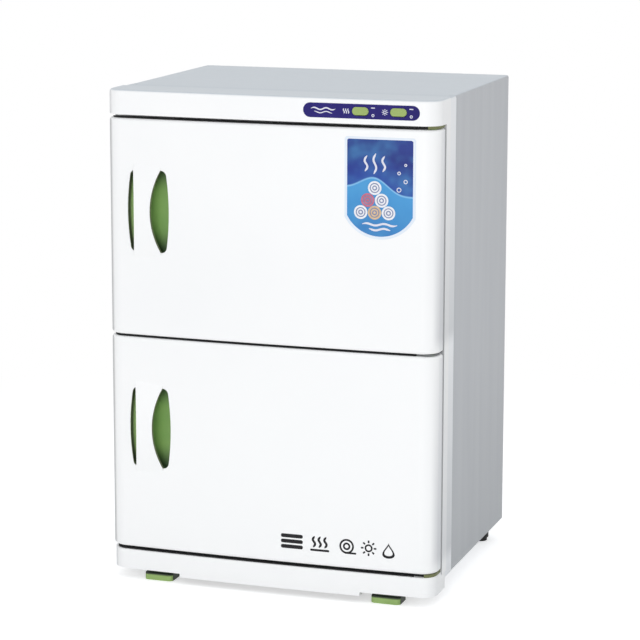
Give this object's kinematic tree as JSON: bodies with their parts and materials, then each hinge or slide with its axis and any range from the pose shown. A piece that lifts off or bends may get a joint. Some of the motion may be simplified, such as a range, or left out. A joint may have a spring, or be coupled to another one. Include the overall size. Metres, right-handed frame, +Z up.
{
  "type": "two-deck hot towel cabinet",
  "caption": "White towel warming and sterilizing box with stacked chambers, side-hinged bowed doors with green recessed grips, rocker switches, racks and drip trays.",
  "frame": {"origin": "centre of the footprint at the level of the feet's undersides", "axes": "+X to the right seen from the front, +Y towards the back, +Z up"},
  "size_m": [0.45, 0.37, 0.655],
  "materials": {
    "white_moulding": "gloss",
    "white_plate": "satin",
    "case_paint": "satin",
    "collar_plastic": "matte",
    "galvanised": "satin",
    "liner_metal": "satin",
    "felt": "matte",
    "silicone_pad": "matte",
    "black_plastic": "satin",
    "lamp_glass": "clear",
    "green_plastic": "gloss",
    "pale_green": "satin",
    "green_rocker": "gloss",
    "indigo_label": "satin",
    "black_rubber": "matte",
    "chrome_wire": "polished",
    "grey_rubber": "matte",
    "panel_plastic": "satin"
  },
  "bodies": {
    "cabinet": {"back_panel": "galvanised", "base_pan": "galvanised", "body_collar": "collar_plastic", "case_wrap": "case_paint", "control_label": "indigo_label", "front_frame": "white_moulding", "lamp_ballast": "galvanised", "left_front_foot": "pale_green", "left_rear_foot": "black_rubber", "left_switch_housing": "black_plastic", "lower_heater_pad": "silicone_pad", "lower_hinge_plate": "green_plastic", "lower_insulation": "felt", "lower_lamp_guard": "liner_metal", "lower_lamp_holders": "black_plastic", "lower_liner": "liner_metal", "lower_striker_plate": "galvanised", "lower_thermostat": "black_plastic", "lower_uv_lamp": "lamp_glass", "mains_inlet": "black_plastic", "middle_hinge_plate": "white_plate", "right_front_foot": "pale_green", "right_rear_foot": "black_rubber", "right_switch_housing": "black_plastic", "terminal_block": "panel_plastic", "upper_heater_pad": "silicone_pad", "upper_hinge_plate": "green_plastic", "upper_insulation": "felt", "upper_lamp_guard": "liner_metal", "upper_lamp_holders": "black_plastic", "upper_liner": "liner_metal", "upper_striker_plate": "galvanised", "upper_thermostat": "black_plastic", "upper_uv_lamp": "lamp_glass"},
    "lower_door": {"lower_door_shell": "white_moulding", "lower_door_inner": "panel_plastic", "lower_door_foam": "felt", "lower_door_seal": "grey_rubber", "lower_door_magnet": "black_plastic", "lower_door_bushes": "green_plastic", "lower_grip_cup": "green_plastic"},
    "lower_rack_body": {"lower_rack": "chrome_wire"},
    "lower_tray_body": {"lower_drip_tray": "liner_metal"},
    "upper_door": {"upper_door_shell": "white_moulding", "upper_door_inner": "panel_plastic", "upper_door_foam": "felt", "upper_door_seal": "grey_rubber", "upper_door_magnet": "black_plastic", "upper_door_bushes": "green_plastic", "upper_grip_cup": "green_plastic"},
    "upper_rack_body": {"upper_rack": "chrome_wire"},
    "upper_tray_body": {"upper_drip_tray": "liner_metal"},
    "left_rocker": {"left_switch_rocker": "green_rocker"},
    "right_rocker": {"right_switch_rocker": "green_rocker"}
  },
  "joints": [
    {"name": "upper_door_hinge", "type": "hinge", "parent": "cabinet", "child": "upper_door", "pos_m": [0.212, -0.16, 0.4756], "axis": [0, 0, 1], "range_deg": [0, 115]},
    {"name": "lower_door_hinge", "type": "hinge", "parent": "cabinet", "child": "lower_door", "pos_m": [0.212, -0.16, 0.1874], "axis": [0, 0, 1], "range_deg": [0, 115]},
    {"name": "upper_rack_slide", "type": "slide", "parent": "cabinet", "child": "upper_rack_body", "axis": [0, -1, 0], "range_m": [0, 0.035]},
    {"name": "upper_tray_slide", "type": "slide", "parent": "cabinet", "child": "upper_tray_body", "axis": [0, -1, 0], "range_m": [0, 0.035]},
    {"name": "lower_rack_slide", "type": "slide", "parent": "cabinet", "child": "lower_rack_body", "axis": [0, -1, 0], "range_m": [0, 0.035]},
    {"name": "lower_tray_slide", "type": "slide", "parent": "cabinet", "child": "lower_tray_body", "axis": [0, -1, 0], "range_m": [0, 0.035]},
    {"name": "left_switch", "type": "hinge", "parent": "cabinet", "child": "left_rocker", "pos_m": [0.1236, -0.17429, 0.639], "axis": [1, 0, 0], "range_deg": [0, 9]},
    {"name": "right_switch", "type": "hinge", "parent": "cabinet", "child": "right_rocker", "pos_m": [0.173, -0.17284, 0.639], "axis": [1, 0, 0], "range_deg": [0, 9]}
  ]
}
